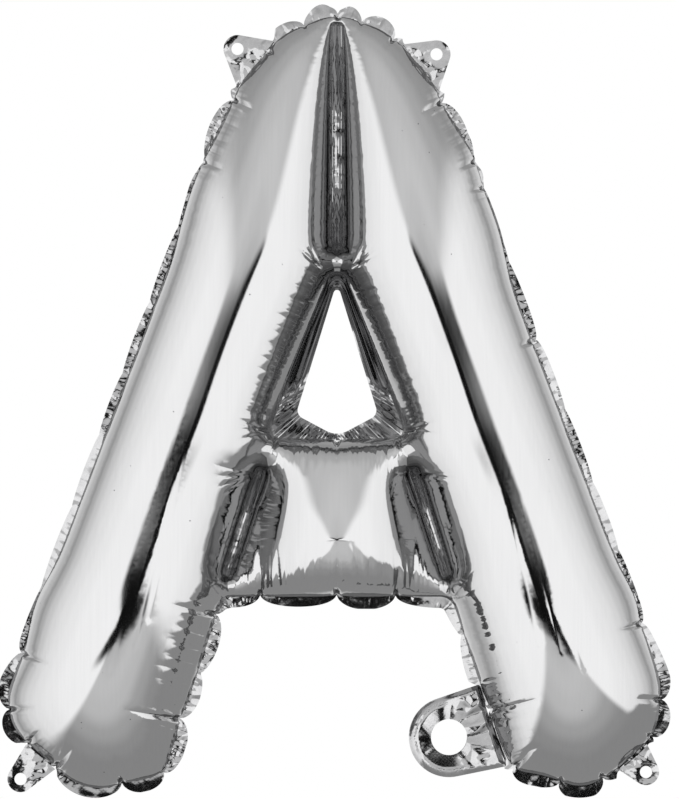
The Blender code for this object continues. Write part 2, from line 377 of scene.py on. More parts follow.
def membrane_sag(points, faces, edge_count):
    """Sag of a membrane that is held at the seams and loaded all over."""
    count = len(points)
    a, b, c = (points[faces[:, k]] for k in range(3))
    area = np.abs(doubled_areas(points, faces)) / 2
    sides = np.stack([c - b, a - c, b - a], 1)
    local = np.einsum("fik,fjk->fij", sides, sides) / (4 * area)[:, None, None]
    row, column = np.repeat(faces, 3, axis=1).ravel(), np.tile(faces, (1, 3)).ravel()
    weight = local.reshape(-1)
    load = np.bincount(faces.ravel(), np.repeat(2 * area / 3, 3), count)
    free = np.arange(count) >= edge_count
    diagonal = np.bincount(row[row == column], weight[row == column], count)
    sag = np.zeros(count)
    left = load * free
    step = left / diagonal
    size = left @ step
    for _ in range(SOLVER_ROUNDS):
        push = np.bincount(row, weight * step[column], count) * free
        share = size / (step @ push)
        sag += share * step
        left = left - share * push
        if np.abs(left).max() < SOLVED * load.max():
            break
        scaled = left / diagonal
        size, before = left @ scaled, size
        step = scaled + size / before * step
    return np.maximum(sag, 0)


def crossbar_profile(x, z, bottom):
    """The height of the crossbar's front: an almost flat face above a low crest."""
    run = CROSSBAR_TOP - CREST_UP
    samples = 2000
    t = np.linspace(0, 1, samples + 1)[:-1]
    tilt = CREST_KINK * (1 - np.exp(-run * t / CREST_KINK_REACH))
    tilt = tilt + CREST_BEND * (run * t) ** CREST_BEND_POWER
    tilt = tilt + CREST_EDGE * t**9 / np.sqrt(1 - t * t)
    drop = np.concatenate([[0], np.cumsum((tilt[1:] + tilt[:-1]) / 2 * run / samples)])
    crest = drop[-1] + tilt[-1] * run / samples
    over = np.clip(z - CREST_UP, 0, run)
    below = np.clip((CREST_UP - z) / (CREST_UP - bottom), 0, 1)
    under = crest * np.sqrt(np.clip(1 - below**2.6, 0, 1))
    under -= CREST_UNDER * (CREST_UP - z) * (1 - below)
    profile = np.where(z > CREST_UP, crest - np.interp(over / run, t, drop), under)
    beside = RIDGE_REACH * (1 - np.exp(-np.abs(x) / RIDGE_REACH))
    return profile - RIDGE_TILT * beside * np.exp(-(((z - CREST_UP) / RIDGE_SPREAD) ** 2))


def crossbar_shape(points, height):
    """The film's heights, with the crossbar between its slits in its own shape."""
    x, z = points.T
    middle = (np.abs(x) < 2.5) & (z < CROSSBAR_TOP - 1)
    bottom = z[middle].min()
    middle &= z > bottom + 1
    along = (z - bottom) / (CROSSBAR_TOP - bottom)
    sides = np.clip(along * (1 - along), 1e-6, None)
    fit = np.polyfit(along[middle], height[middle] ** 2 / sides[middle], 4)
    own = np.sqrt(np.clip(np.polyval(fit, np.clip(along, 0, 1)) * sides, 0, None))
    share = np.clip(crossbar_profile(x, z, bottom) / np.maximum(own, 0.5), 0.3, 1.25)
    share *= 1 - CREST_DOME * np.clip(np.abs(x), 0, 34) ** 2
    ends = smooth_step(z, bottom, bottom + 3)
    ends = ends * (1 - smooth_step(z, CROSSBAR_TOP - 3, CROSSBAR_TOP))
    share = 1 + (share - 1) * (0.35 + 0.65 * ends)
    _, end_x, end_up, foot_x, foot_up, _ = SLITS[2]
    slit = end_x + (end_up - z) * (foot_x - end_x) / (end_up - foot_up)
    past = np.clip(np.maximum(z - end_up, foot_up - z), 0, 12)
    fade = 1 - smooth_step((np.abs(x) - slit) / (1.5 + 0.9 * past), -1, 1)
    fade *= 1 - smooth_step(z, CROSSBAR_TOP, CROSSBAR_TOP + 18)
    return height * (1 + (share - 1) * fade)


def seam_gathers(outline):
    """Place, inward direction, reach and depth of each gather."""
    normals = outward_normals(outline)
    found = [CROSSBAR_TOP_GATHER]
    for x, z, reach, depth in GATHERS:
        k = distances(outline, (x, z)).argmin()
        found.append((*outline[k], *-normals[k], reach, depth))
    return np.array(found)


def pulled(points, gathers):
    """The points with the seam drawn in at each gather."""
    moved = points.copy()
    for x, z, nx, nz, _, depth in gathers:
        away = distances(points, (x, z))
        moved += np.outer(1.3 * depth * np.exp(-away / 2.6), (nx, nz))
    return moved


def turned(vector, angle):
    c, s = math.cos(angle), math.sin(angle)
    return np.array((c * vector[0] - s * vector[1], s * vector[0] + c * vector[1]))


def comb_strength(x, z, out_x, out_z):
    """How strongly the outer seam ruffles the film there: (strength, reach)."""
    if z < -236 and out_z < -0.8 and abs(x) < 50:
        return 1.15, 21.0
    if z < -240 and out_x * x < 0 and abs(out_x) > 0.5:
        return 1.05, 15.0
    if z < -285:
        return 0.45, 8.0
    if z > -110:
        return 0.6, 7.0
    return 0.35, 5.5


def combs(loops, rng):
    """Ripples side by side along every seam."""
    found = []
    for k, loop in enumerate(loops):
        outward = outward_normals(loop)
        length = len(loop) * SEAM_STEP
        for spacing, depth, width, wild in COMBS:
            at = 0.0
            while at < length - spacing / 2:
                i = int(at / SEAM_STEP) % len(loop)
                if k == 0:
                    strength, reach = comb_strength(*loop[i], *outward[i])
                    inward = -outward[i]
                else:
                    strength, reach = COUNTER_COMB if k == 1 else SLIT_COMB
                    inward = outward[i]
                size = strength * (1 - wild * rng.uniform(0, 0.6))
                way = turned(inward, wild * rng.normal(0, 0.11))
                span = reach * (1 + wild * rng.uniform(-0.45, 0.3))
                own_width = width * rng.uniform(0.8, 1.3)
                found.append((*loop[i], *way, span, depth * size, own_width, SLOW_FALL))
                at += spacing * (1 + wild * rng.uniform(-0.35, 0.35))
    return found


def star_creases(x, z, direction, spread, count, reach, depth, rng):
    found = []
    for j in range(count):
        fan = spread * (2 * (j + 0.5) / count - 1)
        angle = math.radians(direction + fan + rng.normal(0, 3))
        way = (math.cos(angle), math.sin(angle))
        size = rng.uniform(0.5, 1.0)
        own_reach = reach * (0.5 + 0.5 * size)
        found.append((x, z, *way, own_reach, 1.15 * depth * size, 0.5, EVEN_FALL))
    return found


def all_creases(loops, gathers, rng):
    """Every crease: start, direction, reach, depth, width, and how fast its depth falls."""
    found = combs(loops, rng)
    for x0, z0, x1, z1, depth, width in LONG_FOLDS:
        reach = math.dist((x0, z0), (x1, z1))
        way = ((x1 - x0) / reach, (z1 - z0) / reach)
        found.append((x0, z0, *way, reach, depth, width, SLOW_FALL))
    for x, z, nx, nz, reach, depth in gathers:
        beside = (rng.uniform(0.25, 0.5), 0.5), (-rng.uniform(0.25, 0.5), 0.45)
        for turn, share in ((0.0, 1.0), *beside):
            way = turned((nx, nz), turn + rng.normal(0, 0.06))
            own_reach = reach if share == 1 else 0.6 * reach
            found.append((x, z, *way, own_reach, 1.1 * depth * share, 0.7, EVEN_FALL))
    for x, z, direction, *star in STARS:
        found += star_creases(x, z, direction, *star, rng)
        found += star_creases(-x, z, 180 - direction, *star, rng)
    return np.array(found)


def drawn_in(points, creases):
    """How far the creases draw the film in at each point."""
    tree = tree_of(points)
    total = np.zeros(len(points))
    for x, z, dx, dz, reach, depth, width, fall in creases:
        middle = (x + dx * reach / 2, z + dz * reach / 2, 0)
        near = [hit[1] for hit in tree.find_range(middle, reach / 2 + 5 * width)]
        if not near:
            continue
        offset = points[near] - (x, z)
        along = offset @ (dx, dz)
        beside = np.abs(offset @ (-dz, dx))
        t = np.clip(along / reach, 0, 1)
        spread = width * (1 + 0.4 * t)
        keep = (1 - t) ** fall * (1 - smooth_step(-along, 0.5, 2.5))
        if fall < EVEN_FALL:
            keep *= smooth_step(along, 0.0, 3.2)
        valley = np.exp(-beside / spread) - 0.3 * np.exp(-(((beside - 2.4 * spread) / spread) ** 2))
        total[near] += depth * keep * valley
    return total


def facets(places, spacing, depth, rng, soften=0.0):
    """Heights of crumpled film at each place: facets between random peaks, their edges softened."""
    scaled = places / spacing
    sites = hexagonal(scaled.min(0) - 2.5, scaled.max(0) + 2.5, 1.0)
    sites = sites + rng.uniform(-0.36, 0.36, sites.shape)
    peaks = depth * rng.uniform(-1, 1, len(sites))
    made = geometry.delaunay_2d_cdt([Vector(p) for p in sites], [], [], 0, 1e-6)
    verts = [Vector((p.x, p.y, peaks[ids[0]])) for p, ids in zip(made[0], made[3])]
    surface = BVHTree.FromPolygons(verts, made[2])
    down = Vector((0, 0, -1))
    around = [(0, 0)]
    if soften:
        around += [turned((soften, 0), k * math.pi / 3) for k in range(6)]
    total = np.zeros(len(places))
    for du, dv in around:
        total += [surface.ray_cast(Vector((u + du, v + dv, 50)), down)[0].z for u, v in scaled]
    return total / len(around)


def mesh_object(name, verts, faces, material):
    mesh = bpy.data.meshes.new(name)
    mesh.from_pydata((np.asarray(verts) * MM).tolist(), [], [list(map(int, f)) for f in faces])
    mesh.materials.append(material)
    mesh.shade_smooth()
    obj = bpy.data.objects.new(name, mesh)
    bpy.context.scene.collection.objects.link(obj)
    return obj


def thickened(piece, thickness, sharp=28):
    """Gives a one-sided film its thickness, and its creases sharp edges."""
    bpy.ops.object.select_all(action="DESELECT")
    bpy.context.view_layer.objects.active = piece
    piece.select_set(True)
    solid = piece.modifiers.new("film", "SOLIDIFY")
    solid.thickness = thickness * MM
    solid.offset = 0
    bpy.ops.object.modifier_apply(modifier="film")
    bpy.ops.object.shade_smooth_by_angle(angle=math.radians(sharp))
    piece.select_set(False)
    return piece


def vertex_normals(place, faces):
    a, b, c = (place[faces[:, k]] for k in range(3))
    face_normal = np.cross(b - a, c - a)
    normal = np.zeros_like(place)
    for k in range(3):
        np.add.at(normal, faces[:, k], face_normal)
    return normal / np.linalg.norm(normal, axis=1)[:, None]


def one_side(points, faces, height, side, edge_count, creases):
    """Places of one sheet's points, with its creases, and its faces turned outwards."""
    place = np.column_stack([points[:, 0], side * height, points[:, 1]])
    a, b, c = (place[faces[:, k]] for k in range(3))
    if np.cross(b - a, c - a)[:, 1].sum() * side < 0:
        faces = faces[:, ::-1]
    normal = vertex_normals(place, faces)
    drawn = drawn_in(points, creases)
    drawn[:edge_count] = 0
    place -= normal * drawn[:, None]
    place[edge_count:, 1] = side * np.maximum(side * place[edge_count:, 1], 0.05)
    return place, faces


def air_filled_letter(loops, gathers, foil):
    """Both foil sheets, which meet along the seams, as one closed skin."""
    tree = tree_of(np.vstack(loops))
    edge_count = sum(len(loop) for loop in loops)
    creases = all_creases(loops, gathers, np.random.default_rng(3))
    core, core_faces = triangles(film_points(loops, tree, creases), loops)
    sag = membrane_sag(core, core_faces, edge_count)
    first_row = np.vstack(rows_beside(loops, ROWS[:1], tree))
    row_tree = tree_of(core[edge_count : edge_count + len(first_row)])
    near = np.vstack(rows_beside(loops, NEAR_ROWS, tree))
    beside, _ = nearest(row_tree, near)
    _, away = nearest(tree, near)
    near_sag = sag[edge_count + beside] * away / ROWS[0]
    points, faces = triangles(np.vstack([core, near]), loops)
    height = ROUNDNESS * np.sqrt(np.concatenate([sag, near_sag]))
    height = crossbar_shape(points, height)
    height[:edge_count] = 0
    moved = pulled(points, gathers)
    sides = []
    for side, seed in ((-1, 4), (1, 5)):
        own = creases.copy()
        own[:, 5] *= np.random.default_rng(seed).uniform(0.65, 1.2, len(own))
        sides.append(one_side(moved, faces, height, side, edge_count, own))
    (front, front_faces), (back, back_faces) = sides
    back_index = np.arange(len(points))
    back_index[edge_count:] += len(points) - edge_count
    verts = np.vstack([front, back[edge_count:]])
    return mesh_object("foil_letter", verts, np.vstack([front_faces, back_index[back_faces]]), foil)


def flat_film(loops, step):
    tree = tree_of(np.vstack(loops))
    grid = hexagonal(loops[0].min(0), loops[0].max(0), step)
    grid = grid[inside(grid, loops)]
    _, away = nearest(tree, grid)
    return triangles(np.vstack([*loops, grid[away > 0.6 * step]]), loops)


def film_piece(name, points, faces, depth_at, thickness, material):
    """A piece of film, from its flat triangles and its depth at each point."""
    clockwise = doubled_areas(points, faces) <= 0
    faces = np.where(clockwise[:, None], faces[:, ::-1], faces)
    verts = np.column_stack([points[:, 0], depth_at, points[:, 1]])
    return thickened(mesh_object(name, verts, faces, material), thickness)


def lobe_nodes(outline, gathers, rng):
    """Places along the outer seam where its film is pinched between two lobes."""
    length = len(outline) * SEAM_STEP
    own = sorted(distances(outline, gather[:2]).argmin() * SEAM_STEP for gather in gathers[1:])
    nodes = []
    for start, end in zip(own, [*own[1:], own[0] + length]):
        middle = outline[int((start + end) / 2 / SEAM_STEP) % len(outline)]
        straight = -270 < middle[1] < -70 and end - start > 60
        count = max(1, round((end - start) / (34 if straight else 27)))
        cuts = np.linspace(start, end, count + 1)[:-1]
        cuts[1:] += rng.uniform(-3.5, 3.5, count - 1)
        nodes += list(cuts)
    return np.array(sorted(node % length for node in nodes))


def film_mood(outline, outward):
    """How wide, how tilted and how crumpled the rim's film is along the outer seam."""
    x, z = outline.T
    apex = smooth_step(z, -75, -45)
    inner = smooth_step(-outward[:, 0] * np.sign(x), 0.55, 0.75) * (z < -236)
    corner = np.exp(-(((np.abs(x) - 50) / 9) ** 2)) * np.exp(-(((z + 243) / 9) ** 2))
    side = smooth_step(outward[:, 0] * np.sign(x), 0.6, 0.8)
    side = side * smooth_step(z, -282, -255) * (1 - apex)
    bright = np.clip(0.8 * apex + inner + corner + 0.7 * side, 0, 1)
    return bright, side, np.clip(1.7 * apex + inner + corner + 0.45 * side, 0, 1.7)


def rim_film(outline, gathers, roots, foil):
    """The welded film round the letter: flat lobes between pinches, crumpled where it is pulled."""
    rng = np.random.default_rng(11)
    length = len(outline) * SEAM_STEP
    at = np.arange(len(outline)) * SEAM_STEP
    nodes = lobe_nodes(outline, gathers, rng)
    lobe = np.searchsorted(nodes, at, side="right") - 1
    start = nodes[lobe] - (lobe < 0) * length
    end = nodes[(lobe + 1) % len(nodes)] + (lobe >= len(nodes) - 1) * length
    end = np.where(lobe < 0, nodes[0], end)
    t = (at - start) / (end - start)
    arch = np.sin(math.pi * np.clip(t, 0, 1)) ** 0.55
    full = rng.uniform(0.8, 1.15, len(nodes))[lobe]
    outward = outward_normals(outline)
    bright, side, rough = film_mood(outline, outward)
    bow = rng.choice([-1.0, 1.0], len(nodes), p=[0.35, 0.65])
    bow = (bow * rng.uniform(0.5, 1.3, len(nodes)))[lobe]
    lean = rng.uniform(0.5, 1.0, len(nodes))[lobe]
    width = 0.8 + 4.4 * arch * full
    width += side * (2.4 + 1.1 * arch - width)
    width = np.maximum(width - np.clip(fullness(outline), -1, 3), 0.7)
    for x, z, half in roots:
        away = distances(outline, (x, z))
        width = np.minimum(width, 1.4 + 4 * smooth_step(away, half, half + 5))
    at_apex = np.exp(-((distances(outline, APEX_LOBES) / 9) ** 2))
    width += 5.0 * at_apex * (0.35 + 0.65 * arch)
    base = pulled(outline, gathers)
    shares = np.linspace(0, 1, 11)
    rows, tilts = [], []
    for share in shares:
        reach = share * (width + SEAM_OVERLAP) - SEAM_OVERLAP
        rows.append(base + outward * reach[:, None])
        bowed = bow * arch * share**1.6 * (0.12 + 0.8 * bright)
        tilts.append(bowed + lean * np.maximum(reach, 0) * (0.02 + 0.22 * bright))
    places = np.vstack([np.column_stack([at, share * (width + SEAM_OVERLAP)]) for share in shares])
    crumple = facets(places, (1.3, 4.5), 0.3, rng) + facets(places, (4.2, 3.0), 0.4, rng, 0.15)
    near_body = np.exp(-np.repeat(shares, len(outline)) * 3)
    crumple *= np.tile(0.16 + 0.84 * rough, len(shares)) + 0.35 * near_body
    crumple *= np.repeat(np.minimum(1, shares * 3), len(outline))
    ends = np.tile(np.minimum(at, length - at), len(shares))
    crumple *= smooth_step(ends, 0, 3)
    points, depth = np.vstack(rows), np.concatenate(tilts) + crumple
    faces = strip_faces(len(shares), len(outline), closed=True)
    if signed_area(outline) > 0:
        faces = faces[:, ::-1]
    verts = np.column_stack([points[:, 0], depth, points[:, 1]])
    return thickened(mesh_object("rim_film", verts, faces, foil), FILM)


def polar(points, centre, angle_step):
    """Angle, in steps, and distance of each point from a centre."""
    offset = points - centre
    angle = np.degrees(np.arctan2(offset[:, 0], -offset[:, 1]))
    return np.column_stack([angle / angle_step, np.linalg.norm(offset, axis=1)])


def stretch_between(loop, stations, counts):
    """The loop's points, with a set number of them between each pair of stations."""
    corners = [distances(loop, station).argmin() for station in stations]
    found = []
    for start, end, count in zip(corners, [*corners[1:], corners[0]], counts):
        way = 1 if signed_area(loop) < 0 else -1
        steps = (way * (end - start)) % len(loop)
        part = loop[(start + way * np.arange(steps + 1)) % len(loop)]
        at = np.linspace(0, steps, count, endpoint=False)
        places = [np.interp(at, np.arange(steps + 1), part[:, k]) for k in (0, 1)]
        found.append(np.column_stack(places))
    return np.vstack(found)


def zigzag(count, step, rng):
    """A folded line: random heights, up and down by turns, at every few points."""
    knots = np.arange(0, count + step, step)
    heights = rng.uniform(0.25, 1.0, len(knots)) * np.where(np.arange(len(knots)) % 2, 1, -1)
    return np.interp(np.arange(count), knots, heights)


def strip_faces(rows, count, closed):
    """Quads between rows of the same number of points."""
    i = np.arange(count if closed else count - 1)
    after = (i + 1) % count
    quad = np.column_stack([i, after, count + after, count + i])
    return np.vstack([quad + row * count for row in range(rows - 1)])


def counter_film(counter, foil):
    """The welded film that narrows the counter, drawn into streaks and fans of folds."""
    rng = np.random.default_rng(23)
    counts = (170, 80, 80, 170)
    opening = rounded(COUNTER_OPENING, 0.25)
    body = resampled(counter + SEAM_OVERLAP * outward_normals(counter), 0.25)
    top, right, left = (corner[:2] for corner in COUNTER_BODY)
    outer = stretch_between(body, (top, right, (0, CROSSBAR_TOP), left), counts)
    inner = stretch_between(opening, [corner[:2] for corner in COUNTER_OPENING], counts)
    count = len(outer)
    shares = np.linspace(0, 1, 16)
    low = 1 - smooth_step(outer[:, 1] * 0.5 + inner[:, 1] * 0.5, -158, -143)
    stations = np.linspace(0, count, 9)
    streaks = np.array([zigzag(len(shares), 3, rng) for _ in stations[:-1]])
    streaks = np.vstack([streaks, streaks[:1]])
    fans = zigzag(count, 5.2, rng)
    rows = []
    for k, share in enumerate(shares):
        streak = np.interp(np.arange(count), stations, streaks[:, k])
        ends = math.sin(math.pi * min(share + 0.1, 0.94)) ** 0.6
        fan = fans * low * (0.35 + 0.65 * share)
        depth = (2.1 * streak * (1 - low) + 1.9 * fan) * ends
        place = outer + share * (inner - outer)
        rows.append(np.column_stack([place[:, 0], depth, place[:, 1]]))
    verts = np.vstack(rows)
    faces = strip_faces(len(shares), count, closed=True)
    return thickened(mesh_object("counter_film", verts, faces, foil), FILM, sharp=14)


def weld_film(name, ends, foil, seed):
    """The weld at the bottom of a slit, rucked along its length."""
    rng = np.random.default_rng(seed)
    x0, z0, x1, z1, width = ends
    length = math.dist((x0, z0), (x1, z1))
    way = np.array((x1 - x0, z1 - z0)) / length
    side = np.array((-way[1], way[0]))
    reach = width / 2 + 0.7
    along = np.linspace(-reach, length + reach, round(length / 0.7))
    past = np.maximum(np.maximum(-along, along - length), 0)
    half = np.sqrt(np.maximum(reach**2 - past**2, 0.01))
    shares = np.linspace(-1, 1, 13)
    stations = np.linspace(-reach, length + reach, max(4, round(length / 11)))
    rucks = np.array([zigzag(len(shares), 2, rng) for _ in stations])
    rucks[1::2] = 0.5 * (rucks[1::2] + rucks[:-1:2][: len(rucks[1::2])])
    knots = facets(np.column_stack([along, along * 0]), (2.2, 2.2), 0.35, rng)
    ruck = np.interp(along / length, (0.3, 0.42, 0.72, 0.84), (0.40, 0.14, 0.14, 0.40))
    rows = []
    for k, share in enumerate(shares):
        depth = ruck * np.interp(along, stations, rucks[:, k])
        depth = depth + knots * math.cos(share * math.pi / 2)
        place = np.array((x0, z0)) + np.outer(along, way) + np.outer(share * half, side)
        rows.append(np.column_stack([place[:, 0], depth, place[:, 1]]))
    faces = strip_faces(len(shares), len(along), closed=False)
    piece = mesh_object(name + "_film", np.vstack(rows), faces, foil)
    return thickened(piece, FILM, sharp=14)


def root_of(outline, tip):
    """The place on the outline nearest to a tip, and its direction outwards."""
    k = distances(outline, tip).argmin()
    return outline[k], outward_normals(outline)[k]


def tab_film(name, x, z, radius, half_width, outline, foil, seed):
    """A hanging tab: crumpled film with a punched hole."""
    rng = np.random.default_rng(seed)
    middle, outward = root_of(outline, (x, z))
    along = np.array((outward[1], -outward[0]))
    k = np.flatnonzero(np.abs((outline - middle) @ along) < half_width)
    k = k[distances(outline[k], middle) < 2 * half_width]
    root = outline[k] + 0.6 * outward_normals(outline)[k]
    tip = circle((x, z), radius)
    body = resampled(stretched_round(np.vstack([tip, root])), 0.6)
    hole = circle((x, z), TAB_HOLE_RADIUS, 36)
    points, faces = flat_film([body, hole], 0.55)
    from_hole = distances(points, (x, z))
    reach = (points - middle) @ outward
    near_body = 1 - smooth_step(reach, 1.0, 8.0)
    depth = facets(points, (6.5, 6.5), 0.85, rng, 0.25)
    depth += facets(points, (2.4, 2.4), 0.55, rng, 0.12) * near_body
    depth += facets(points, (1.3, 1.3), 0.07, rng)
    depth *= 0.45 + 0.55 * smooth_step(from_hole, TAB_HOLE_RADIUS, radius + 1)
    depth += (0.12 if z > -100 else 0.04) * np.clip(reach, 0, 14)
    return film_piece(name + "_film", points, faces, depth, FILM, foil)


def tail_outline():
    along, outward = np.array(FOLD_ALONG), np.array(FOLD_OUTWARD)
    root = [np.array(FOLD) + side * TAIL_ROOT * along - 2.2 * outward for side in (-1, 1)]
    return stretched_round(np.vstack([circle(TAIL_HOLE, TAIL_TIP_RADIUS, 90), root]))


def tail_layer(name, side, foil, seed):
    """One layer of the filling tail: crumpled beside the leg, with two weld lines at its tip."""
    rng = np.random.default_rng(seed)
    loop = resampled(tail_outline(), 0.7)
    hole = circle(TAIL_HOLE, TAIL_HOLE_RADIUS, 80)
    points, faces = flat_film([loop, hole], 0.6)
    reach = (points - FOLD) @ np.array(FOLD_OUTWARD)
    near_leg = 1 - smooth_step(reach, 5, 19)
    rough = facets(polar(points, TAIL_HOLE, 15.0), (1.0, 11.0), 1.0, rng, 0.08)
    rough += facets(points, (3.2, 3.2), 0.35, rng)
    soft = facets(points, (9.0, 9.0), 0.7, rng, 0.3)
    lift = 1.5 * near_leg + 0.6 + np.clip(rough, -1.2, 1.3) * near_leg + soft * (1 - near_leg)
    lift += 0.05 * np.clip(reach, 0, 30) * (side < 0)
    _, edge = nearest(tree_of(loop), points)
    for inner in TAIL_WELD_LINES:
        lift -= 0.28 * np.exp(-(((edge - inner) / 0.4) ** 2)) * smooth_step(reach, 10, 15)
    lift = np.maximum(lift * smooth_step(edge, -0.2, 2.2) + 0.12, 0.12)
    return film_piece(name, points, faces, side * lift, TAIL_FILM, foil)


class Finish:
    """A material whose roughness, tone and bump vary over the piece."""

    def __init__(self, name):
        self.material = bpy.data.materials.new(name)
        self.material.use_nodes = True
        self.tree = self.material.node_tree
        self.new, self.link = self.tree.nodes.new, self.tree.links.new
        self.shader = self.tree.nodes["Principled BSDF"]
        self.place = self.new("ShaderNodeTexCoord").outputs["Object"]
        self.sums = Sums(self.tree)

    def stretched(self, scale, turn=(0, 0, 0)):
        mapping = self.new("ShaderNodeMapping")
        mapping.inputs["Scale"].default_value = scale
        mapping.inputs["Rotation"].default_value = turn
        self.link(self.place, mapping.inputs["Vector"])
        return mapping.outputs["Vector"]

    def noise(self, place, detail=2.0):
        node = self.new("ShaderNodeTexNoise")
        node.inputs["Scale"].default_value = 1.0
        node.inputs["Detail"].default_value = detail
        self.link(place, node.inputs["Vector"])
        return node.outputs[0]

    def specks(self, scale, radius, share):
        """1 on small round specks, 0 elsewhere."""
        node = self.new("ShaderNodeTexVoronoi")
        node.inputs["Scale"].default_value = scale
        self.link(self.place, node.inputs["Vector"])
        chosen = self.new("ShaderNodeSeparateColor")
        self.link(node.outputs["Color"], chosen.inputs[0])
        spot = self.sums.step(node.outputs["Distance"], radius, 0.6 * radius)
        few = self.sums.node("LESS_THAN", chosen.outputs[0], share)
        return self.sums.times(spot, few)

    def between(self, value, low, high):
        return self.sums.mapped(value, 0.3, 0.7, low, high).outputs[0]

    def colour(self, dark, light, share):
        node = self.new("ShaderNodeMix")
        node.data_type = "RGBA"
        node.inputs["A"].default_value = (*dark, 1)
        node.inputs["B"].default_value = (*light, 1)
        self.link(share, node.inputs["Factor"])
        self.link(node.outputs["Result"], self.shader.inputs["Base Color"])

    def roughness(self, value):
        self.link(value, self.shader.inputs["Roughness"])

    def bump(self, height, strength, distance):
        node = self.new("ShaderNodeBump")
        node.inputs["Strength"].default_value = strength
        node.inputs["Distance"].default_value = distance
        self.link(height, node.inputs["Height"])
        self.link(node.outputs[0], self.shader.inputs["Normal"])


def mirror_foil():
    """Bright metallised film, with faint drawing streaks, clouding and a little dust."""
    finish = Finish("mirror foil")
    sums = finish.sums
    finish.shader.inputs["Metallic"].default_value = 1
    streaks = finish.noise(finish.stretched((1100, 300, 14)), 3.0)
    clouds = finish.noise(finish.stretched((28, 28, 28)), 3.0)
    dust = finish.specks(420, 0.16, 0.012)
    shine = sums.plus(sums.times(streaks, 0.5), sums.times(clouds, 0.5))
    clean = sums.less(1, dust)
    bright = sums.times(clean, finish.between(shine, 0.93, 1.0))
    finish.colour((0.30, 0.30, 0.31), (0.915, 0.915, 0.92), bright)
    rough = sums.plus(finish.between(shine, 0.035, 0.085), sums.times(dust, 0.4))
    finish.roughness(rough)
    finish.bump(streaks, 0.05, 0.00004)
    return finish.material


def welded_foil():
    """The same film where it is welded: a fine hatch from the welding bar, and crumpled grain."""
    finish = Finish("welded foil")
    sums = finish.sums
    finish.shader.inputs["Metallic"].default_value = 1
    grain = finish.noise(finish.stretched((1500, 1500, 1500)), 2.0)
    clouds = finish.noise(finish.stretched((160, 160, 160)), 3.0)
    hatch = None
    for turn in (-0.8, 0.8):
        wave = finish.new("ShaderNodeTexWave")
        wave.inputs["Scale"].default_value = 260
        wave.inputs["Distortion"].default_value = 0.6
        finish.link(finish.stretched((1, 1, 1), (0, turn, 0)), wave.inputs["Vector"])
        hatch = wave.outputs[0] if hatch is None else sums.times(hatch, wave.outputs[0])
    worn = sums.plus(sums.times(grain, 0.4), sums.times(clouds, 0.6))
    finish.colour((0.70, 0.70, 0.71), (0.90, 0.90, 0.905), finish.between(worn, 0.0, 1.0))
    finish.roughness(finish.between(worn, 0.13, 0.05))
    finish.bump(sums.plus(hatch, sums.times(grain, 1.5)), 0.03, 0.0001)
    return finish.material


def valve_film():
    """Milky plastic film, faintly ribbed along the tail."""
    finish = Finish("valve film")
    ribs = finish.noise(finish.stretched((90, 300, 900)), 2.0)
    finish.colour((0.70, 0.72, 0.74), (0.84, 0.85, 0.87), finish.between(ribs, 0.0, 1.0))
    finish.roughness(finish.between(ribs, 0.28, 0.42))
    finish.bump(ribs, 0.2, 0.0002)
    return finish.material


class Sums:
    """Short ways to chain math nodes."""

    def __init__(self, tree):
        self.tree = tree

    def node(self, operation, *values):
        node = self.tree.nodes.new("ShaderNodeMath")
        node.operation = operation
        for socket, value in zip(node.inputs, values):
            if isinstance(value, (int, float)):
                socket.default_value = value
            else:
                self.tree.links.new(value, socket)
        return node.outputs[0]

    def times(self, *values):
        return self.node("MULTIPLY", *values)

    def plus(self, *values):
        return self.node("ADD", *values)

    def less(self, *values):
        return self.node("SUBTRACT", *values)

    def mapped(self, value, start, end, low=0, high=1):
        node = self.tree.nodes.new("ShaderNodeMapRange")
        limits = {"From Min": start, "From Max": end, "To Min": low, "To Max": high}
        for name, limit in limits.items():
            node.inputs[name].default_value = limit
        self.tree.links.new(value, node.inputs["Value"])
        return node

    def step(self, value, start, end):
        """Rises smoothly from 0 at the start to 1 at the end, whichever is greater."""
        limits = (start, end) if start < end else (end, start, 1, 0)
        node = self.mapped(value, *limits)
        node.interpolation_type = "SMOOTHSTEP"
        return node.outputs[0]

    def mix(self, share, below, above):
        rest = self.less(1, share)
        return self.plus(self.times(rest, below), self.times(share, above))

    def curve(self, value, stops):
        """Tone by degrees, from (degrees, tone) pairs."""
        node = self.tree.nodes.new("ShaderNodeValToRGB")
        ramp = node.color_ramp
        ramp.interpolation = "EASE"
        while len(ramp.elements) < len(stops):
            ramp.elements.new(0.5)
        for element, (degrees, tone) in zip(ramp.elements, stops):
            element.position = degrees / 180
            element.color = (tone, tone, tone, 1)
        self.tree.links.new(self.node("DIVIDE", value, 180), node.inputs[0])
        return node.outputs[0]


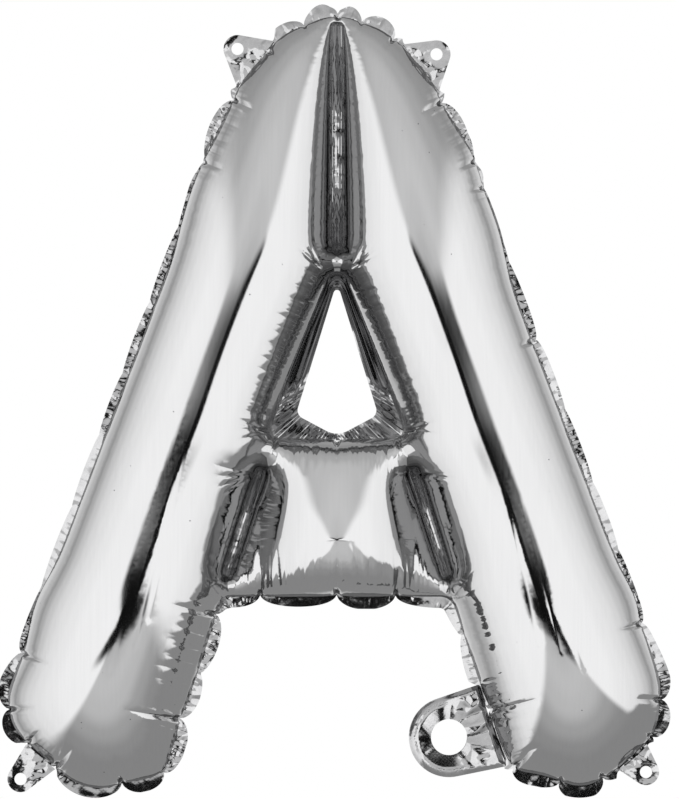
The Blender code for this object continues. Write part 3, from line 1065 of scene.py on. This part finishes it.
def studio():
    """A white room in grey tones, with a dark camera stand in its middle, as the foil sees it."""
    world = bpy.data.worlds.new("studio")
    bpy.context.scene.world = world
    world.use_nodes = True
    tree = world.node_tree
    tree.nodes.clear()
    new, link = tree.nodes.new, tree.links.new
    sums = Sums(tree)
    node, step, mix = sums.node, sums.step, sums.mix
    times, plus, less = sums.times, sums.plus, sums.less
    place = new("ShaderNodeTexCoord")
    axes = new("ShaderNodeSeparateXYZ")
    link(place.outputs["Generated"], axes.inputs[0])
    x, y, z = axes.outputs
    turn = times(node("ARCCOSINE", times(y, -1)), math.degrees(1))
    across = node("SQRT", plus(times(x, x), times(z, z)))
    across = node("MAXIMUM", across, 1e-5)
    rise = node("DIVIDE", z, across)
    right = step(x, -0.05, 0.05)
    walls = sums.curve(turn, WALLS)
    ceiling = sums.curve(turn, CEILING)
    ground = sums.curve(turn, FLOOR)
    right_edge = plus(times(step(turn, 68, 94), 0.28), -0.40)
    edge = mix(right, -0.74, right_edge)
    under = less(rise, edge)
    tone = mix(step(rise, 0.38, 0.60), walls, ceiling)
    tone = mix(step(under, 0.05, -0.05), tone, ground)

    # The stand, by degrees aside of and above the middle: arms, a post, and spread legs.
    near = node("MINIMUM", turn, less(180, turn))
    aside = times(near, node("DIVIDE", x, across))
    away = node("ABSOLUTE", aside)
    above = times(near, rise)
    raised = less(above, times(away, STAND_SLOPE))
    lowered = plus(above, times(away, STAND_SLOPE))
    top = step(raised, 4.8, 0.4)
    arm = plus(raised, times(less(18, away), 0.3))
    knee = less(lowered, times(away, 0.27))
    bars = [
        (step(away, 19, 12.5), step(arm, -1.0, 1.0), top),
        (step(away, 8.0, 5.0), step(above, -9.5, -4.5), top),
        (step(away, 23, 12), step(knee, -10, -6.5), step(lowered, 1.0, -1.2)),
    ]
    stand = 0
    for bar in bars:
        share = times(times(bar[0], bar[1]), bar[2])
        stand = node("MAXIMUM", share, stand)
    tone = mix(stand, tone, STAND_TONE)

    # Light for the foil, dimmer after each further mirroring; plain white for the camera.
    lit, seen = (new("ShaderNodeBackground") for _ in range(2))
    ray = new("ShaderNodeLightPath").outputs
    further = node("MAXIMUM", less(ray["Ray Depth"], 2), 0)
    link(tone, lit.inputs["Color"])
    once_more = less(1, times(node("MINIMUM", further, 1), 1 - FOLD_SHADE))
    link(times(node("POWER", DEEP_FOLD_SHADE, further), once_more), lit.inputs["Strength"])
    seen.inputs["Color"].default_value = (1, 1, 1, 1)
    choose = new("ShaderNodeMixShader")
    link(node("MAXIMUM", ray["Is Camera Ray"], ray["Is Diffuse Ray"]), choose.inputs[0])
    link(lit.outputs[0], choose.inputs[1])
    link(seen.outputs[0], choose.inputs[2])
    out = new("ShaderNodeOutputWorld")
    link(choose.outputs[0], out.inputs["Surface"])


def floor():
    """A plain pale floor under the hanging letter, which the foil doesn't mirror."""
    bpy.ops.object.select_all(action="DESELECT")
    place = (0, 0, -0.53)
    bpy.ops.mesh.primitive_circle_add(vertices=96, radius=2.4, fill_type="NGON", location=place)
    bpy.ops.object.transform_apply(location=True)
    disc = bpy.context.object
    disc.name = "floor"
    finish = Finish("pale floor")
    paint = finish.noise(finish.stretched((7, 7, 7)), 4.0)
    finish.colour((0.93, 0.93, 0.93), (0.965, 0.965, 0.965), finish.between(paint, 0.0, 1.0))
    finish.roughness(finish.between(paint, 0.8, 0.95))
    disc.data.materials.append(finish.material)
    disc.visible_glossy = False
    disc.select_set(False)


def camera():
    """Straight from the front, with the photograph's frame."""
    data = bpy.data.cameras.new("camera")
    obj = bpy.data.objects.new("camera", data)
    bpy.context.scene.collection.objects.link(obj)
    bpy.context.scene.camera = obj
    data.sensor_fit = "VERTICAL"
    data.sensor_height = SENSOR
    data.lens = SENSOR * CAMERA_DISTANCE / (FRAME_ROWS * ROW_SIZE)
    middle_up = ZERO_ROW - FRAME_ROWS / 2
    obj.location = (MIDDLE_ACROSS * ROW_SIZE, -CAMERA_DISTANCE, middle_up * ROW_SIZE)
    obj.rotation_euler = (math.pi / 2, 0, 0)


def fitted(piece, *nodes):
    """A piece that rides the balloon, in place of the nodes."""
    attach(piece, "balloon")
    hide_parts(*nodes)
    return piece


bpy.context.scene.view_settings.view_transform = "Standard"
camera()
studio()
floor()

outline = filled_out(rounded(mirrored(HALF_OUTLINE), SEAM_STEP))
counter = rounded(COUNTER_BODY, SEAM_STEP)
loops = [outline, counter, *[slit_outline(*slit) for _, *slit in SLITS]]
gathers = seam_gathers(outline)
foil = mirror_foil()
seam_foil = welded_foil()

letter = fitted(air_filled_letter(loops, gathers, foil), "front_sheet", "back_sheet")

roots = [(*root_of(outline, (x, z))[0], half) for _, x, z, _, half in TABS]
roots.append((*root_of(outline, TAIL_HOLE)[0], TAIL_ROOT - 2))
rim = fitted(rim_film(outline, gathers, roots, seam_foil), "rim_seam")
fitted(counter_film(counter, seam_foil), "counter_seam")
for seed, (name, *ends) in enumerate(SLITS, 31):
    fitted(weld_film(name, ends, seam_foil, seed), name)
for seed, (name, *tab) in enumerate(TABS, 41):
    fitted(tab_film(name, *tab, outline, seam_foil, seed), name)

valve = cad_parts["tail_valve"]
valve.data.materials.clear()
valve.data.materials.append(valve_film())

tail_cut = tail_outline()
cut_area = float(abs(signed_area(tail_cut)) - math.pi * TAIL_HOLE_RADIUS**2) * MM**2

for name, side, node, seed in (
    ("tail_front_film", -1, "tail_front_layer", 51),
    ("tail_back_film", 1, "tail_back_layer", 52),
):
    layer = tail_layer(name, side, seam_foil, seed)
    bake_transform(layer)
    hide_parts(node)
